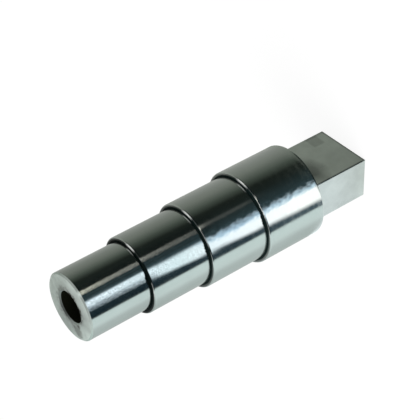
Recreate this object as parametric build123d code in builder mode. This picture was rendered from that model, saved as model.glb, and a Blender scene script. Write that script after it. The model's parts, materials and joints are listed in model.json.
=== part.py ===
# Stepped mandrel for forming rings of metal: one steel turning with four plain round steps,
# a blind bore in its small end and a flat-sided tang below its large end, for the vise.
# Millimetres, Z up. The mandrel stands on its tang: the origin is the middle of the tang's
# end face, Z is the turning axis, and the tang's broad faces look along Y.
import os
from math import radians, tan

from build123d import *

# The tang, milled flat on four sides
tang_width = 43.5
tang_thickness = 30.0
tang_length = 46.0

# The forming steps, from the small one at the top down to the large one on the tang.
# A shoulder is how far a step stands out, all round, beyond the step above it.
small_step_diameter = 47.0
small_step_length = 45.0
second_step_shoulder = 3.0
second_step_length = 44.0
third_step_shoulder = 3.0
third_step_length = 44.0
large_step_shoulder = 3.0
large_step_length = 46.0

# The drilled bore in the small end: its depth goes down to where the drill's cone begins
bore_diameter = 22.0
bore_depth = 90.0
drill_point_angle = 118.0
bore_mouth_chamfer = 1.0

# Broken edges: the nose round the end face, the rounded rim of each step, and the tang
nose_chamfer = 1.0
rim_rounding = 1.0
tang_edge_break = 0.5

# Each step's radius follows from the step above it
small_step_radius = small_step_diameter / 2
second_step_radius = small_step_radius + second_step_shoulder
third_step_radius = second_step_radius + third_step_shoulder
large_step_radius = third_step_radius + large_step_shoulder

# The steps from the tang upwards, each a radius and a length, and the height of the end face
steps = [
    (large_step_radius, large_step_length),
    (third_step_radius, third_step_length),
    (second_step_radius, second_step_length),
    (small_step_radius, small_step_length),
]
end_face_height = tang_length + sum(length for radius, length in steps)
bore_radius = bore_diameter / 2
drill_point_length = bore_radius / tan(radians(drill_point_angle / 2))

with BuildPart() as mandrel:
    # Half of the stepped section, from the axis out to each step and back, spun about the axis
    with BuildSketch(Plane.XZ):
        with BuildLine():
            outline = [(0, tang_length)]
            step_foot = tang_length
            for radius, length in steps:
                outline += [(radius, step_foot), (radius, step_foot + length)]
                step_foot += length
            outline.append((0, end_face_height))
            Polyline(*outline, close=True)
        make_face()
    revolve(axis=Axis.Z)

    # The outer edge of every flat face that the lathe left: rounded on the back of the large step
    # and on the three shoulders, and chamfered on the end face
    turned_faces = mandrel.faces().filter_by(Axis.Z).sort_by(Axis.Z)
    step_rims = [face.outer_wire().edges() for face in turned_faces[:-1]]
    fillet([edge for rim in step_rims for edge in rim], radius=rim_rounding)
    chamfer(mandrel.faces().sort_by(Axis.Z)[-1].outer_wire().edges(), length=nose_chamfer)

    # The tang, from the ground up to the back of the large step
    with BuildSketch(Plane.XY):
        Rectangle(tang_width, tang_thickness)
    extrude(amount=tang_length)
    tang_corners = mandrel.faces().filter_by(Axis.X).edges().filter_by(Axis.Z)
    tang_end_edges = mandrel.faces().sort_by(Axis.Z)[0].edges()
    chamfer(tang_corners + tang_end_edges, length=tang_edge_break)

    # The bore: half the section of a drilled hole, its straight wall and then the drill's cone,
    # spun about the axis and cut away, and its mouth chamfered
    with BuildSketch(Plane.XZ):
        with BuildLine():
            Polyline(
                (0, end_face_height),
                (bore_radius, end_face_height),
                (bore_radius, end_face_height - bore_depth),
                (0, end_face_height - bore_depth - drill_point_length),
                close=True,
            )
        make_face()
    revolve(axis=Axis.Z, mode=Mode.SUBTRACT)
    chamfer(mandrel.faces().sort_by(Axis.Z)[-1].inner_wires().edges(), length=bore_mouth_chamfer)

mandrel.part.label = "mandrel"

os.makedirs("parts", exist_ok=True)
export_step(mandrel.part, "parts/mandrel.step")
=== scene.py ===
"""Finishes the stepped mandrel as ground steel and sets it in a plain pale studio."""

import json
from collections import namedtuple
from math import cos, pi, radians, sin

import bmesh
import bpy
from bpy.props import FloatProperty, FloatVectorProperty, IntProperty, PointerProperty
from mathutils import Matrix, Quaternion, Vector


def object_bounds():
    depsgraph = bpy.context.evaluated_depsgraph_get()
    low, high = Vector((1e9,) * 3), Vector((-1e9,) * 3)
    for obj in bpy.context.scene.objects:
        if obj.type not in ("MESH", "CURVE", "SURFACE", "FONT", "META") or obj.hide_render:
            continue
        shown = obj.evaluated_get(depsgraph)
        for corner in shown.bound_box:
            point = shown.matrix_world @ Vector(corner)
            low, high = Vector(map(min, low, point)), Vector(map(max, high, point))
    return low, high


bl_info = {
    "name": "Stepped mandrel",
    "version": (1, 0, 0),
    "blender": (4, 5, 0),
    "location": "View3D > Sidebar > Mandrel",
    "description": "Ground steel finish, studio and camera for a stepped forming mandrel",
    "category": "Object",
}

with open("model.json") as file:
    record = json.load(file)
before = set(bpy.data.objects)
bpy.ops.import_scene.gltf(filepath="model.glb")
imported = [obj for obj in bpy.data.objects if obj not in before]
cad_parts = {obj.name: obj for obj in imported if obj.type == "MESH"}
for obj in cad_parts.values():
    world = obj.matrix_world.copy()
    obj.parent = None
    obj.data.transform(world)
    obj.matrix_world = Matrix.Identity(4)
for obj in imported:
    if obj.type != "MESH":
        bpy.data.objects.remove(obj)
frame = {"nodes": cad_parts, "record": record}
CAD_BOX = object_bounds()
MOUNTS = {mount["name"]: mount for mount in frame["record"]["mounts"]}
MM = 0.001
WHITE = (1, 1, 1)


def wall_radius(name):
    """The radius of a round mount's wall, in metres."""
    return MOUNTS[name]["dims"]["r_mm"] * MM


# Heights of the end face, of the tang's upper end at the large step, and of the three shoulders,
# which are the feet of the steps above them
END_FACE = CAD_BOX[1].z
TANG_TOP = 0.046
SMALL_STEP_FOOT = 0.180
SECOND_STEP_FOOT = 0.136
THIRD_STEP_FOOT = 0.092
# Each shoulder's height, with the radius of the step that ends in it
SHOULDERS = (
    (SMALL_STEP_FOOT, wall_radius("second_step")),
    (SECOND_STEP_FOOT, wall_radius("third_step")),
    (THIRD_STEP_FOOT, wall_radius("large_step")),
)
BORE_RADIUS = wall_radius("bore")
# The two faces of the tang that the camera sees: X of the left one and Y of the front one
TANG_LEFT = MOUNTS["tang_left"]["pos_m"][0]
TANG_FRONT = MOUNTS["tang_front"]["pos_m"][1]

# Levels that tell one feature from another: a height below the bore, a height between the rims
# of the shoulders and the end face, and a radius between the bore's mouth and the nose
UNDER_BORE = 0.120
ABOVE_RIMS = 0.200
MID_END_FACE = 0.016
# How soft the edges between finishes are: a hair's breadth, and more at the feet of the steps
HAIR = 0.1 * MM
STEP_EDGE = 0.5 * MM

# Oval patches on the end face and on the tang: the middle, the half widths and the edge's softness
STAIN = ((0.0006, 0), (0.0130, 0.0128), 0.3)
GRIME = ((-0.0004, -0.0006), (0.0117, 0.0117), 0.06)
FACE_MARK = ((-0.0064, 0.0150), (0.0040, 0.0038), 0.7)
PALE_EDGE = ((-0.0165, 0.0140), (0.0090, 0.0070), 1.0)
# Painted shade below the large step, on the tang's front
TANG_SHADE_PATCH = ((-0.0085, 0.0355), (0.0115, 0.0068), 1.2)


class Value:
    """A node's output, which adds the nodes of an expression that is written with it."""

    def __init__(self, shader, socket):
        self.shader = shader
        self.socket = socket

    def math(self, operation, *inputs, clamp=False):
        settings = {"operation": operation, "use_clamp": clamp}
        return self.shader.node("ShaderNodeMath", settings, dict(enumerate(inputs)))

    def __add__(self, other):
        return self.math("ADD", self, other)

    def __radd__(self, other):
        return self.math("ADD", other, self)

    def __sub__(self, other):
        return self.math("SUBTRACT", self, other)

    def __rsub__(self, other):
        return self.math("SUBTRACT", other, self)

    def __mul__(self, other):
        return self.math("MULTIPLY", self, other)

    def __rmul__(self, other):
        return self.math("MULTIPLY", other, self)

    def __truediv__(self, other):
        return self.math("DIVIDE", self, other)

    def __pow__(self, other):
        return self.math("POWER", self, other)

    def above(self, level, softness):
        """1 above a level and 0 below it, changing evenly over a softness."""
        return self.math("ADD", (self - level) / softness, 0.5, clamp=True)

    def below(self, level, softness):
        """1 below a level and 0 above it, changing evenly over a softness."""
        return self.math("SUBTRACT", 0.5, (self - level) / softness, clamp=True)

    def within(self, low, high, softness):
        """1 between two levels and 0 outside them, changing evenly over a softness."""
        return self.above(low, softness) * self.below(high, softness)


class Shader:
    """The nodes of one material or world."""

    def __init__(self, owner):
        owner.use_nodes = True
        self.tree = owner.node_tree
        self.tree.nodes.clear()

    def node(self, kind, settings=None, inputs=None, output=0):
        """Adds a node with its settings, then its inputs' values or links, and gives an output."""
        node = self.tree.nodes.new(kind)
        for name, setting in (settings or {}).items():
            if name == "stops":
                set_stops(node.color_ramp, setting)
            else:
                setattr(node, name, setting)
        for name, source in (inputs or {}).items():
            if isinstance(source, Value):
                self.tree.links.new(source.socket, node.inputs[name])
            elif node.inputs[name].type == "RGBA":
                node.inputs[name].default_value = (*source[:3], 1)
            else:
                node.inputs[name].default_value = source
        return Value(self, node.outputs[output]) if node.outputs else node

    def axis(self, vector, name):
        """One axis of a vector."""
        return self.node("ShaderNodeSeparateXYZ", inputs={0: vector}, output=name)

    def vector(self, x, y, z):
        """A vector from three numbers."""
        return self.node("ShaderNodeCombineXYZ", inputs={0: x, 1: y, 2: z})

    def mix(self, factor, start, end):
        """A colour between two others."""
        return self.node("ShaderNodeMix", {"data_type": "RGBA"}, {0: factor, 6: start, 7: end}, 2)

    def tint(self, factor, colour, other):
        """A colour times another, as far as a factor says."""
        settings = {"data_type": "RGBA", "blend_type": "MULTIPLY"}
        return self.node("ShaderNodeMix", settings, {0: factor, 6: colour, 7: other}, 2)

    def shade(self, colour, amount):
        """A colour times a number."""
        return self.tint(1.0, colour, self.vector(amount, amount, amount))

    def blend(self, factor, start, end):
        """A number between two others."""
        return start + factor * (end - start)

    def noise(self, place, scale, detail=2.0, roughness=0.5):
        """Noise about one half, at a scale per metre."""
        inputs = {"Vector": place, "Scale": scale, "Detail": detail, "Roughness": roughness}
        return self.node("ShaderNodeTexNoise", None, inputs)

    def ramp(self, position, stops):
        """The colour at a position between stops."""
        return self.node("ShaderNodeValToRGB", {"stops": stops}, {0: position})

    def parts(self, colour):
        """The red, green and blue of a colour."""
        return [self.node("ShaderNodeSeparateColor", None, {0: colour}, name)
                for name in ("Red", "Green", "Blue")]

    def bearing(self, aside, ahead):
        """The turn, in degrees, from straight ahead to a place."""
        return aside.math("ARCTAN2", aside, ahead) * (180 / pi)

    def patch(self, across, along, centre, size, edge, ragged):
        """1 in an oval patch and 0 outside it, with an edge that a noise makes ragged."""
        far = (((across - centre[0]) / size[0]) ** 2 + ((along - centre[1]) / size[1]) ** 2) ** 0.5
        return (far + ragged).below(1.0, edge)


def set_stops(ramp, stops):
    """Gives a colour ramp its stops, each a position and a colour."""
    while len(ramp.elements) > 1:
        ramp.elements.remove(ramp.elements[-1])
    ramp.elements[0].position = stops[0][0]
    ramp.elements[0].color = (*stops[0][1], 1)
    for position, colour in stops[1:]:
        ramp.elements.new(position).color = (*colour, 1)


class MandrelFinish(bpy.types.PropertyGroup):
    """Colours and roughness of the steel, of the dirt on it, and of the painted shade and
    highlights on it.
    """

    steel_colour: FloatVectorProperty(
        name="Steel", description="Colour of clean ground steel",
        subtype="COLOR", size=3, min=0, max=1, default=(0.56, 0.575, 0.565),
    )
    faced_colour: FloatVectorProperty(
        name="End face", description="Colour of the end face, which the lathe left duller",
        subtype="COLOR", size=3, min=0, max=1, default=(0.47, 0.525, 0.495),
    )
    stain_colour: FloatVectorProperty(
        name="Stain", description="Colour of the stains on the end face",
        subtype="COLOR", size=3, min=0, max=1, default=(0.10, 0.098, 0.085),
    )
    grime_colour: FloatVectorProperty(
        name="Grime", description="Colour of the black grime round the bore's mouth",
        subtype="COLOR", size=3, min=0, max=1, default=(0.016, 0.015, 0.008),
    )
    # Dark residue on the shoulders, with painted shade and painted dark reflection there, on the
    # rims, under the large step and round the tang's end
    residue_and_shade_colour: FloatVectorProperty(
        name="Dark residue", description="Colour of the dark residue on the shoulders",
        subtype="COLOR", size=3, min=0, max=1, default=(0.004, 0.0085, 0.008),
    )
    # Painted shade: the drilled bore's wall is painted near black
    bore_shade_colour: FloatVectorProperty(
        name="Bore", description="Colour of the drilled wall, dark with oil",
        subtype="COLOR", size=3, min=0, max=1, default=(0.008, 0.009, 0.005),
    )
    # A painted highlight: one stretch of each rim is painted near white
    highlighted_colour: FloatVectorProperty(
        name="Scuffed rim", description="Colour of the stretch of each rim that is scuffed bright",
        subtype="COLOR", size=3, min=0, max=1, default=(0.97, 1.0, 0.97),
    )
    ground_roughness: FloatProperty(
        name="Ground roughness", description="Roughness of the ground steps",
        subtype="FACTOR", min=0, max=1, default=0.14,
    )
    faced_roughness: FloatProperty(
        name="Faced roughness", description="Roughness of the end face",
        subtype="FACTOR", min=0, max=1, default=0.42,
    )
    tang_roughness: FloatProperty(
        name="Tang roughness", description="Roughness of the tang's milled faces",
        subtype="FACTOR", min=0, max=1, default=0.3,
    )


class MandrelStudio(bpy.types.PropertyGroup):
    """Sizes of the studio, and the places of its lamp and its camera."""

    floor_radius: FloatProperty(
        name="Floor radius", description="Radius of the round pale floor",
        unit="LENGTH", min=0.5, default=6.0,
    )
    floor_colour: FloatVectorProperty(
        name="Floor", description="Colour of the floor where lamps light it",
        subtype="COLOR", size=3, min=0, max=1, default=(0.8, 0.8, 0.8),
    )
    tent_radius: FloatProperty(
        name="Tent radius", description="Radius of the light tent round the mandrel",
        unit="LENGTH", min=0.06, default=0.110,
    )
    tent_height: FloatProperty(
        name="Tent height", description="Height of the light tent's wall",
        unit="LENGTH", min=0.05, default=0.290,
    )
    tent_segments: IntProperty(
        name="Tent segments", description="Flat strips that the round tent is made of",
        min=12, default=180,
    )
    lamp_place: FloatVectorProperty(
        name="Lamp", description="Place of the soft lamp above the mandrel",
        subtype="TRANSLATION", unit="LENGTH", size=3, default=(-0.9, 0.5, 1.6),
    )
    lamp_size: FloatProperty(
        name="Lamp size", description="Side of the square soft lamp",
        unit="LENGTH", min=0.01, default=1.4,
    )
    lamp_power: FloatProperty(
        name="Lamp power", description="Power of the soft lamp",
        unit="POWER", min=0, default=18.0,
    )
    camera_aim: FloatVectorProperty(
        name="Aim", description="Point that the camera looks at",
        subtype="TRANSLATION", unit="LENGTH", size=3, default=(0.008167, -0.010648, 0.109011),
    )
    camera_distance: FloatProperty(
        name="Distance", description="From the camera to the point it looks at",
        unit="LENGTH", min=0.1, default=0.930263,
    )
    camera_azimuth: FloatProperty(
        name="Azimuth", description="Turn of the camera round the mandrel",
        subtype="ANGLE", unit="ROTATION", default=radians(-44.633),
    )
    camera_elevation: FloatProperty(
        name="Elevation", description="Height of the camera above the horizon",
        subtype="ANGLE", unit="ROTATION", default=radians(27.796),
    )
    camera_roll: FloatProperty(
        name="Roll", description="Turn of the camera about its own line of sight",
        subtype="ANGLE", unit="ROTATION", default=radians(-117.539),
    )
    camera_lens: FloatProperty(
        name="Lens", description="Focal length on a sensor 36 mm wide",
        subtype="DISTANCE_CAMERA", unit="CAMERA", min=10, default=123.149,
    )


class Skin:
    """What the finishes share: places, noises, and masks that are 1 where each finish lies."""

    def __init__(self, shader):
        place = shader.node("ShaderNodeTexCoord", output="Object")
        facing = shader.node("ShaderNodeTexCoord", output="Normal")
        x, y, z = (shader.axis(place, name) for name in "XYZ")
        upward = shader.axis(facing, "Z")
        radius = (x * x + y * y) ** 0.5
        self.x, self.y, self.z, self.upward, self.radius = x, y, z, upward, radius
        # The turn round the axis, in degrees from the middle between -X and -Y
        self.turn = shader.bearing(x - y, -1 * x - y)

        # Noises, from the coarse to the fine
        self.clouds = shader.noise(place, 45.0, 3.0, 0.5)
        self.mottle = shader.noise(place, 190.0, 4.0, 0.6)
        self.peel = shader.noise(place, 700.0, 5.0, 0.7)
        self.grain = shader.noise(place, 1250.0, 2.0, 0.6)
        self.streaks = shader.noise(shader.vector(x * 250, y * 250, z * 230), 1.0, 1.0, 0.4)
        # Grinding marks run round the steps: noise that is long round the axis and short along it
        self.round_marks = shader.noise(shader.vector(x * 9, y * 9, z * 1800), 1.0, 3.0, 0.6)
        self.bands = shader.noise(shader.vector(x * 90, y * 90, z * 300), 1.0, 3.0, 0.6)

        self.turned = z.above(TANG_TOP - HAIR / 2, HAIR / 2)
        self.end_face = z.above(END_FACE - HAIR, HAIR / 2) * upward.above(0.9, 0.1)
        self.bore = z.above(UNDER_BORE, MM) * radius.below(BORE_RADIUS + HAIR, HAIR)
        chamfers = upward.within(0.45, 0.9, 0.1) * z.above(ABOVE_RIMS, MM)
        self.mouth = chamfers * radius.below(MID_END_FACE, MM)
        self.nose = chamfers * radius.above(MID_END_FACE, MM)
        self.rims = upward.within(0.06, 0.97, 0.04) * self.turned * z.below(ABOVE_RIMS, MM)
        # 0 on the large step and 1 on the small one, rising evenly over the two between them
        self.small_end = z.above(0.140, 0.08)


def residue_shade_and_highlights(skin):
    """Where dark residue and painted shade lie, mostly on the shoulders, and where a painted
    highlight lies on their rims.
    """
    z, turn, upward, small_end = skin.z, skin.turn, skin.upward, skin.small_end
    uneven = skin.mottle - 0.5
    ragged = uneven * 0.7 * MM

    # It fills the corner above each shoulder as painted shade, and spreads up the wall in one
    # stretch
    spread = turn.within(-26, -9, 6) * (skin.peel - 0.2) * 3.5
    corner_height = (0.7 - turn.above(45, 30) * 0.35 + spread) * MM
    corners, outer = 0.0, 0.0
    for height, step_radius in SHOULDERS:
        filled = (z + ragged - corner_height).below(height, 0.3 * MM)
        corners = z.above(height - HAIR, HAIR) * filled + corners
        ring = (skin.radius + ragged).above(step_radius - 1.7 * MM, 0.8 * MM)
        outer = z.within(height - HAIR, height + HAIR, HAIR / 2) * ring + outer

    # It covers the shoulders, as dark residue and painted dark reflection, but for two stretches of
    # their outer part where it is thin
    thin = turn.above(44, 16) * (0.5 - small_end * 0.3)
    thin = thin + turn.below(-38, 16) * (1 - small_end * 0.85) * 0.55
    shoulders = (upward + uneven * 0.2).above(0.93, 0.06) * z.below(ABOVE_RIMS, MM) * skin.turned

    # The rims are clean steel, but for painted dark reflection in one heavy stretch and a few thin
    # ones
    shaded_stretches = turn.within(-33, -14, 6) * 0.6
    shaded_stretches = shaded_stretches + (turn.within(-20, 12, 6) + turn.below(-44, 16) * 0.2) * small_end
    heavy_shade = turn.within(15, 30, 5) * (0.8 + small_end * 0.15)
    shaded_rims = skin.rims * (shaded_stretches * (upward + uneven * 0.4).above(0.3, 0.2) + heavy_shade)

    # It is painted shadow on the large step just above the tang, and painted shade on the broken
    # edge round the tang's end
    back = (z + ragged).below(TANG_TOP + 1.5 * MM, 0.5 * MM) * skin.turned
    back = back * turn.within(-12, 42, 14)
    tang_end_shade = upward.within(-0.9, -0.45, 0.1) * (1 - skin.turned)

    residue_and_shade = corners * upward.below(0.3, 0.1) + shoulders * (1 - outer * thin) + shaded_rims
    residue_and_shade = residue_and_shade + back * 0.85 + tang_end_shade * 0.8
    # A painted highlight, near white, on a stretch of the rims and of the shoulders' outer part
    highlighted = (skin.rims * upward.above(0.68, 0.3) + outer * 0.85) * turn.within(31, 46, 9)
    return residue_and_shade, highlighted.math("MINIMUM", highlighted, 1.0)


def clean_steel(shader, skin, finish):
    """The colour of the steps and of the tang, with marks and painted shade on the tang's front
    face.
    """
    x, z, turn, clouds = skin.x, skin.z, skin.turn, skin.clouds
    front = skin.y.below(TANG_FRONT + 2 * HAIR, HAIR) * z.below(TANG_TOP, HAIR)
    # On the tang's front: painted shade below the large step, as a ragged patch and a band along
    # its rim, and a square mark
    under_step_shade = shader.patch(x, z, *TANG_SHADE_PATCH, (clouds - 0.5) * 1.2)
    shaded = z.above(0.0350, 0.010) * x.within(-0.018, 0.006, 0.008)
    square = x.within(0.0105, 0.021, 0.0015) * z.within(0.0075, 0.0165, 0.0015)
    # Its edges are darker: the one at the end, and parts of the two that run along it
    dark_edges = z.below(0.0014, 0.0016) * 0.55
    dark_edges = dark_edges + x.above(0.0198, 0.0028) * z.below(0.018, 0.004) * 0.3
    dark_edges = dark_edges + x.below(-0.0209, 0.0012) * z.above(0.002, 0.004) * 0.7
    marks_and_shade = front * (under_step_shade * 0.46 + shaded * 0.3 + square * 0.24 + dark_edges)

    cloudy = shader.blend(skin.turned, 0.5, 0.12)
    evenness = 1 + (clouds - 0.5) * cloudy + (skin.mottle - 0.5) * cloudy * 0.3
    steel = shader.shade(finish.steel_colour, evenness)
    # The two upper steps are speckled in one stretch, and the rims have a painted highlight in
    # another
    speckled = z.above(SECOND_STEP_FOOT, STEP_EDGE) * (0.1 + skin.small_end * 0.9)
    speckled = speckled * turn.within(-24, -2, 6)
    painted_rim_light = skin.rims * turn.above(52, 10) * 0.25
    return shader.shade(steel, 1 - marks_and_shade + painted_rim_light + (skin.grain - 0.5) * speckled * 1.3)


def add_faced_end(shader, skin, finish, colour):
    """Adds the end face, the nose and the bore's mouth to a colour, with their stains and grime."""
    x, y, radius = skin.x, skin.y, skin.radius
    uneven = skin.mottle - 0.5
    ragged = skin.mottle + skin.peel - 1
    stain = shader.patch(x, y, *STAIN, ragged * 0.7)
    face_mark = shader.patch(x, y, *FACE_MARK, ragged * 2.0)
    pale_edge = shader.patch(x, y, *PALE_EDGE, uneven * 0.8)
    # The face is brighter outwards
    brightness = 1.16 + (radius - 0.017) * 28 + uneven * 0.8 + pale_edge * 0.4
    faced = shader.shade(finish.faced_colour, brightness)
    faced = shader.mix(stain * 0.6 + face_mark * 0.55, faced, finish.stain_colour)
    colour = shader.mix(skin.end_face, colour, faced)

    # The mouth has painted shade on one side, and both edges have a painted sheen at two places
    # opposite each other. The nose has a painted glint besides.
    shaded_side = (x * 0.87 + y * 0.5) / 0.0115 + uneven * 0.4
    painted_sheen = ((x * x - y * y) * 0.342 - x * y * 1.88) / (radius * radius)
    mouth = shader.shade(finish.faced_colour, 0.76 - shaded_side * 0.47 + painted_sheen * 0.17)
    glint = skin.turn.within(8, 16, 6) * 0.7
    nose = shader.shade(finish.faced_colour, 1.0 + painted_sheen * 0.35 + glint)
    colour = shader.mix(skin.nose, shader.mix(skin.mouth, colour, mouth), nose)

    grime = shader.patch(x, y, *GRIME, ragged * 0.8) * (skin.end_face + skin.mouth)
    grime = grime * (x * 0.82 + y * 0.57).below(-0.0055, 0.006)
    return shader.mix(grime * 0.9, colour, finish.grime_colour)


def skin_roughness(shader, skin, finish):
    """The roughness of each finish, with bands of grinding marks on the steps."""
    uneven, cloudy = skin.mottle - 0.5, skin.clouds - 0.5
    # The bands are the plainest on the large step
    banded = (skin.bands - 0.5) * (0.10 + skin.z.below(0.100, 0.03) * 0.20)
    ground = finish.ground_roughness + uneven * 0.06 + cloudy * 0.04 + banded
    milled = finish.tang_roughness + cloudy * 0.15
    faced = finish.faced_roughness + uneven * 0.1
    roughness = shader.blend(skin.turned, milled, ground)
    roughness = shader.blend(skin.end_face, roughness, faced)
    return shader.blend(skin.nose + skin.mouth, roughness, finish.faced_roughness)


def skin_relief(skin):
    """How uneven the surface is, in millimetres of depth: the steps have an orange's skin."""
    z, turn = skin.z, skin.turn
    small_step = z.above(SMALL_STEP_FOOT, STEP_EDGE)
    upper_steps = z.above(SECOND_STEP_FOOT, STEP_EDGE)
    lower_steps = z.within(TANG_TOP, SECOND_STEP_FOOT, STEP_EDGE)
    pitted = small_step * turn.within(-21, -9, 4) + upper_steps * turn.within(7, 17, 4) * 0.9
    streaked = lower_steps * turn.within(-14, 8, 10)
    wall = skin.round_marks * 0.0012 + skin.peel * (0.008 + pitted * 0.14)
    wall = wall + skin.streaks * streaked * 0.2 + skin.grain * pitted * 0.09
    return wall * (1 - skin.end_face) + skin.end_face * skin.mottle * 0.03


def ground_steel(finish):
    """The whole turning's steel: ground steps, faced end, dark shoulders, bore and milled tang,
    with painted shade and highlights.
    """
    material = bpy.data.materials.new("ground_steel")
    shader = Shader(material)
    skin = Skin(shader)
    colour = add_faced_end(shader, skin, finish, clean_steel(shader, skin, finish))
    bump = shader.node(
        "ShaderNodeBump",
        inputs={"Strength": 1.0, "Distance": MM, "Height": skin_relief(skin)},
    )
    steel = shader.node(
        "ShaderNodeBsdfPrincipled",
        inputs={
            "Base Color": colour, "Metallic": 1.0,
            "Roughness": skin_roughness(shader, skin, finish), "Normal": bump,
            "Anisotropic": 0.35, "Anisotropic Rotation": 0.25,
        },
    )
    residue_and_shade, highlighted = residue_shade_and_highlights(skin)
    # The residue and painted shade are the darkest at the small end, and the bore is painted shade
    dark = shader.shade(finish.residue_and_shade_colour, 2.2 - skin.small_end * 1.4)
    dark = shader.mix(skin.bore, dark, finish.bore_shade_colour)
    matt = shader.node(
        "ShaderNodeBsdfPrincipled",
        inputs={
            "Base Color": shader.mix(highlighted, dark, finish.highlighted_colour),
            "Metallic": 0.0, "Roughness": 0.6, "Specular IOR Level": 0.03,
        },
    )
    is_matt = residue_and_shade.math("ADD", residue_and_shade + highlighted, skin.bore, clamp=True)
    surface = shader.node("ShaderNodeMixShader", inputs={0: is_matt, 1: steel, 2: matt})
    shader.node("ShaderNodeOutputMaterial", inputs={"Surface": surface})
    return material


def lathe(name, profile, segments):
    """A mesh of a profile of radii and heights, spun about Z. A radius of nought is a point."""
    shape = bmesh.new()
    rings = []
    for radius, height in profile:
        count = segments if radius > 0 else 1
        angles = [2 * pi * step / count for step in range(count)]
        rings.append([
            shape.verts.new((radius * cos(angle), radius * sin(angle), height))
            for angle in angles
        ])
    for lower, upper in zip(rings, rings[1:]):
        for step in range(segments):
            after = (step + 1) % segments
            corners = [lower[step % len(lower)], lower[after % len(lower)],
                       upper[after % len(upper)], upper[step % len(upper)]]
            shape.faces.new(dict.fromkeys(corners))
    mesh = bpy.data.meshes.new(name)
    shape.to_mesh(mesh)
    shape.free()
    piece = bpy.data.objects.new(name, mesh)
    bpy.context.scene.collection.objects.link(piece)
    return piece


def seen_directly(shader):
    """1 for rays that show the background: the camera's, and those of polished or clear things."""
    path = "ShaderNodeLightPath"
    camera = shader.node(path, output="Is Camera Ray")
    glossy = shader.node(path, output="Is Glossy Ray")
    clear = shader.node(path, output="Is Transmission Ray")
    return camera.math("ADD", camera + glossy, clear, clamp=True)


# The floor's segments, its own light, and how much of that light the background shows
FLOOR_SEGMENTS = 96
FLOOR_GLOW = 1.11
FLOOR_GLOW_SHARE = 0.8


def make_floor(studio):
    """A pale floor that shows white, and a little darker where the mandrel shades it."""
    floor = lathe("floor", [(0, 0), (studio.floor_radius, 0)], FLOOR_SEGMENTS)
    material = bpy.data.materials.new("pale_floor")
    shader = Shader(material)
    lit = shader.node("ShaderNodeBsdfDiffuse", inputs={"Color": studio.floor_colour})
    glow = shader.node("ShaderNodeEmission", inputs={"Color": WHITE, "Strength": FLOOR_GLOW})
    share = seen_directly(shader) * FLOOR_GLOW_SHARE
    surface = shader.node("ShaderNodeMixShader", inputs={0: share, 1: lit, 2: glow})
    shader.node("ShaderNodeOutputMaterial", inputs={"Surface": surface})
    floor.data.materials.append(material)
    return floor


# What the tent's cloth shows: the turn in degrees from the camera's side, and the light's colour
TENT_LIGHT = (
    (-180, (0.10, 0.11, 0.11)),
    (-174, (0.12, 0.13, 0.13)),
    (-169, (0.44, 0.46, 0.45)),
    (-156, (0.52, 0.56, 0.55)),
    (-130, (0.57, 0.65, 0.63)),
    (-117, (0.61, 0.705, 0.685)),
    (-98, (0.70, 0.80, 0.785)),
    (-83, (0.90, 1.05, 1.03)),
    (-62, (0.90, 1.07, 1.05)),
    (-59.5, (0.90, 1.07, 1.05)),
    (-56.5, (0.008, 0.022, 0.028)),
    (-45, (0.012, 0.028, 0.038)),
    (-8, (0.062, 0.115, 0.145)),
    (-2, (0.044, 0.080, 0.092)),
    (6, (0.033, 0.058, 0.064)),
    (28, (0.017, 0.026, 0.024)),
    (48, (0.016, 0.022, 0.018)),
    (62, (0.080, 0.100, 0.082)),
    (71, (0.140, 0.166, 0.140)),
    (89, (0.250, 0.278, 0.243)),
    (127, (0.380, 0.405, 0.375)),
    (146, (0.43, 0.45, 0.42)),
    (169, (0.43, 0.45, 0.42)),
    (174, (0.12, 0.13, 0.13)),
    (180, (0.10, 0.11, 0.11)),
)
# A panel of the strip light: its heights in millimetres, and its left and right edge in degrees
# at each, then how soft the two edges are, and the strength of the warm line beside it
StripPanel = namedtuple("StripPanel", "heights left_edge right_edge softness warm_line")
# The five panels, from the floor up. The camera looks down, so each step shows the tent lower
# than itself: the large step shows the first two panels, and each step above it the next one.
STRIP_PANELS = (
    StripPanel((0, 22), (-44.5, -43.6), (-10.2, -10.1), (9, 15), 0.0),
    StripPanel((24, 48), (-43.0, -39.6), (-10.1, -10), (9, 15), 0.0),
    StripPanel((50, 92), (-43.5, -35), (-12.7, -12.7), (8, 21), 0.06),
    StripPanel((94, 136), (-42.3, -32.3), (-7.5, -8), (8, 8), 0.49),
    StripPanel((139, 290), (-23, -21), (-5.9, -6.7), (22, 5), 0.86),
)
# The strip's colour: the height as a part of the uppermost panel's, and the light's colour
STRIP_LIGHT = (
    (0.05, (1.82, 1.88, 1.84)),
    (0.25, (1.60, 1.74, 1.84)),
    (0.40, (1.20, 1.45, 1.53)),
    (0.60, (1.40, 1.62, 1.77)),
)
# A ramp runs from 0 to 1, so it holds millimetres and degrees as parts of these
PANEL_TOP = 290
RAMP_DEGREES = 90


def camera_ward(studio, x, y):
    """How far a place lies to the side, and how far toward the camera, as seen from above."""
    azimuth = studio.camera_azimuth
    return x * cos(azimuth) + y * sin(azimuth), x * sin(azimuth) - y * cos(azimuth)


def tent_cloth(shader, place, z, turn):
    """The light of the tent's cloth, without the strip light."""
    # To one side, the shades lean over with height
    lean = (0.091 - z) * 70 * turn.above(30, 10)
    stops = [((degrees + 180) / 360, colour) for degrees, colour in TENT_LIGHT]
    cloth = shader.ramp((turn + lean + 180) / 360, stops)
    # The gap beside the strip is lighter near the floor
    gap = turn.within(-57, -30, 2) * z.below(0.080, 0.14)
    gap_light = shader.mix(z.below(0.045, 0.03), (0.050, 0.088, 0.115), (0.085, 0.135, 0.165))
    cloth = shader.mix(gap, cloth, gap_light)
    cloth = shader.shade(cloth, 0.92 + shader.noise(place, 16.0, 2.0, 0.5) * 0.16)
    # Round the warm line, the part that the two upper steps show is darker
    return shader.shade(cloth, 1 - turn.within(5, 40, 8) * z.above(0.085, 0.020) * 0.38)


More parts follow.
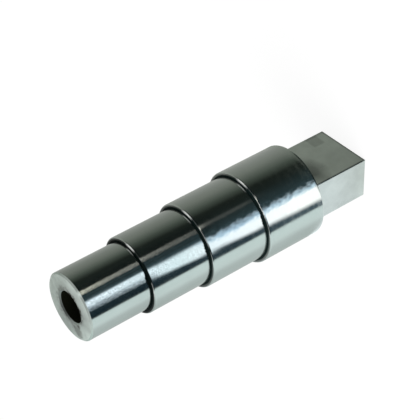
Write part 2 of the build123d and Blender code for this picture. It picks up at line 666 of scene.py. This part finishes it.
def add_strip_light(shader, place, z, turn, cloth):
    """Adds the strip light and the thin warm line beside it to the cloth's light."""
    edges, softness = [], []
    for panel in STRIP_PANELS:
        left_soft, right_soft = (degrees / RAMP_DEGREES for degrees in panel.softness)
        for height, left, right in zip(panel.heights, panel.left_edge, panel.right_edge):
            level = height / PANEL_TOP
            edges.append((level, (-left / RAMP_DEGREES, -right / RAMP_DEGREES, panel.warm_line)))
            softness.append((level, (left_soft, right_soft, 0.0)))
    level = z / (PANEL_TOP * MM)
    left, right, line = shader.parts(shader.ramp(level, edges))
    left_soft, right_soft = shader.parts(shader.ramp(level, softness))[:2]
    rising = (turn + left * RAMP_DEGREES).above(0, left_soft * RAMP_DEGREES)
    fading = (turn + right * RAMP_DEGREES).below(0, right_soft * RAMP_DEGREES)
    light = shader.mix(rising * fading, cloth, shader.ramp(level, STRIP_LIGHT))
    # Its right edge is bluer in the part that the two lower steps show
    fringe = fading * (1 - fading) * 4 * z.below(0.095, 0.020)
    light = shader.tint(fringe, light, (0.76, 0.96, 1.12))

    # The warm line is uneven, and the brightest in the part that the nose shows
    line = line * (0.35 + shader.noise(place, 300.0, 3.0, 0.6) * 1.3)
    warm = shader.mix(z.above(0.179, 0.006), (1.17, 1.17, 1.06), (3.0, 3.0, 2.5))
    return shader.mix(turn.within(20, 25, 4) * line * 1.1, light, warm)


def add_floor_light(shader, studio, x, y, light):
    """Adds what the tang's faces show of the floor near its foot to a light: pale to the left of
    the near edge between them, grey to the right, and dark straight ahead of that edge."""
    sideways = shader.bearing(*camera_ward(studio, x - TANG_LEFT, y - TANG_FRONT))
    away = (x * x + y * y) ** 0.5
    pale = shader.mix(((away - 0.022) / 0.073) ** 0.5, (0.86, 0.95, 0.90), (1.08, 1.19, 1.21))
    grey = shader.shade((0.29, 0.325, 0.28), 0.94 + x * 2.5 + y.below(-0.0510, 0.006) * 0.18)
    ground = shader.mix(sideways.below(0, 1), grey, pale)
    ground = shader.mix(sideways.within(-18, 18, 6), ground, (0.02, 0.03, 0.03))
    return shader.mix(away.below(0.098, 0.003), light, ground)


def make_tent(studio):
    """A tent of cloth round the mandrel, which only polished surfaces show."""
    radius, foot = studio.tent_radius, 0.25 * MM
    profile = [(0, foot), (radius, foot), (radius, studio.tent_height)]
    tent = lathe("light_tent", profile, studio.tent_segments)
    material = bpy.data.materials.new("tent_cloth")
    shader = Shader(material)
    place = shader.node("ShaderNodeTexCoord", output="Object")
    x, y, z = (shader.axis(place, name) for name in "XYZ")
    # The turn from the camera's side, from -180 to 180 degrees
    turn = shader.bearing(*camera_ward(studio, x, y))
    light = add_strip_light(shader, place, z, turn, tent_cloth(shader, place, z, turn))
    light = add_floor_light(shader, studio, x, y, light)
    glow = shader.node("ShaderNodeEmission", inputs={"Color": light, "Strength": 1.0})
    shader.node("ShaderNodeOutputMaterial", inputs={"Surface": glow})
    tent.data.materials.append(material)
    tent.visible_camera = False
    tent.visible_diffuse = False
    tent.visible_transmission = False
    tent.visible_volume_scatter = False
    tent.visible_shadow = False
    return tent


# The strength of the world's light where it isn't looked at
WORLD_LIGHT = 0.55


def make_world():
    """A white world to look at, which lights the floor more softly."""
    world = bpy.data.worlds.new("studio")
    bpy.context.scene.world = world
    shader = Shader(world)
    strength = WORLD_LIGHT + seen_directly(shader) * (1 - WORLD_LIGHT)
    surface = shader.node("ShaderNodeBackground", inputs={"Color": WHITE, "Strength": strength})
    shader.node("ShaderNodeOutputWorld", inputs={"Surface": surface})


def make_lamp(studio):
    """A square soft lamp that looks at the middle of the mandrel."""
    light = bpy.data.lights.new("top_lamp", "AREA")
    light.shape = "SQUARE"
    light.size = studio.lamp_size
    light.energy = studio.lamp_power
    lamp = bpy.data.objects.new("top_lamp", light)
    lamp.location = studio.lamp_place
    toward = Vector((0, 0, END_FACE / 2)) - lamp.location
    lamp.rotation_euler = toward.to_track_quat("-Z", "Y").to_euler()
    lamp.visible_glossy = False
    bpy.context.scene.collection.objects.link(lamp)


SENSOR_WIDTH = 36


def make_camera(studio):
    """The camera, turned about its line of sight so that the mandrel lies across the frame."""
    azimuth, elevation = studio.camera_azimuth, studio.camera_elevation
    back = Vector((
        sin(azimuth) * cos(elevation), -cos(azimuth) * cos(elevation), sin(elevation),
    ))
    data = bpy.data.cameras.new("camera")
    data.sensor_width = SENSOR_WIDTH
    data.lens = studio.camera_lens
    data.clip_start = 0.01
    data.clip_end = 50
    camera = bpy.data.objects.new("camera", data)
    camera.location = Vector(studio.camera_aim) + back * studio.camera_distance
    camera.rotation_mode = "QUATERNION"
    roll = Quaternion((0, 0, 1), studio.camera_roll)
    camera.rotation_quaternion = (-back).to_track_quat("-Z", "Y") @ roll
    bpy.context.scene.collection.objects.link(camera)
    bpy.context.scene.camera = camera


class MANDREL_OT_finish(bpy.types.Operator):
    """Gives the mandrel its ground steel"""

    bl_idname = "mandrel.finish"
    bl_label = "Finish the mandrel"

    def execute(self, context):
        slots = frame["nodes"]["mandrel"].material_slots
        slots[0].material = ground_steel(context.scene.mandrel_finish)
        return {"FINISHED"}


class MANDREL_OT_stage(bpy.types.Operator):
    """Sets up the floor, the light tent, the lamp, the world and the camera"""

    bl_idname = "mandrel.stage"
    bl_label = "Set up the studio"

    def execute(self, context):
        studio = context.scene.mandrel_studio
        context.scene.view_settings.view_transform = "Standard"
        make_floor(studio)
        make_tent(studio)
        make_world()
        make_lamp(studio)
        make_camera(studio)
        return {"FINISHED"}


class MANDREL_PT_panel(bpy.types.Panel):
    """The mandrel's finish and its studio"""

    bl_label = "Stepped mandrel"
    bl_idname = "MANDREL_PT_panel"
    bl_space_type = "VIEW_3D"
    bl_region_type = "UI"
    bl_category = "Mandrel"

    def draw(self, context):
        for operator, group in (
            ("mandrel.finish", context.scene.mandrel_finish),
            ("mandrel.stage", context.scene.mandrel_studio),
        ):
            self.layout.operator(operator)
            for name in group.__annotations__:
                self.layout.prop(group, name)


CLASSES = (MandrelFinish, MandrelStudio, MANDREL_OT_finish, MANDREL_OT_stage, MANDREL_PT_panel)


def register():
    for item in CLASSES:
        bpy.utils.register_class(item)
    bpy.types.Scene.mandrel_finish = PointerProperty(type=MandrelFinish)
    bpy.types.Scene.mandrel_studio = PointerProperty(type=MandrelStudio)


def unregister():
    del bpy.types.Scene.mandrel_studio
    del bpy.types.Scene.mandrel_finish
    for item in reversed(CLASSES):
        bpy.utils.unregister_class(item)


def main():
    """Makes everything in order."""
    register()
    bpy.ops.mandrel.finish()
    bpy.ops.mandrel.stage()


if __name__ == "__main__":
    main()
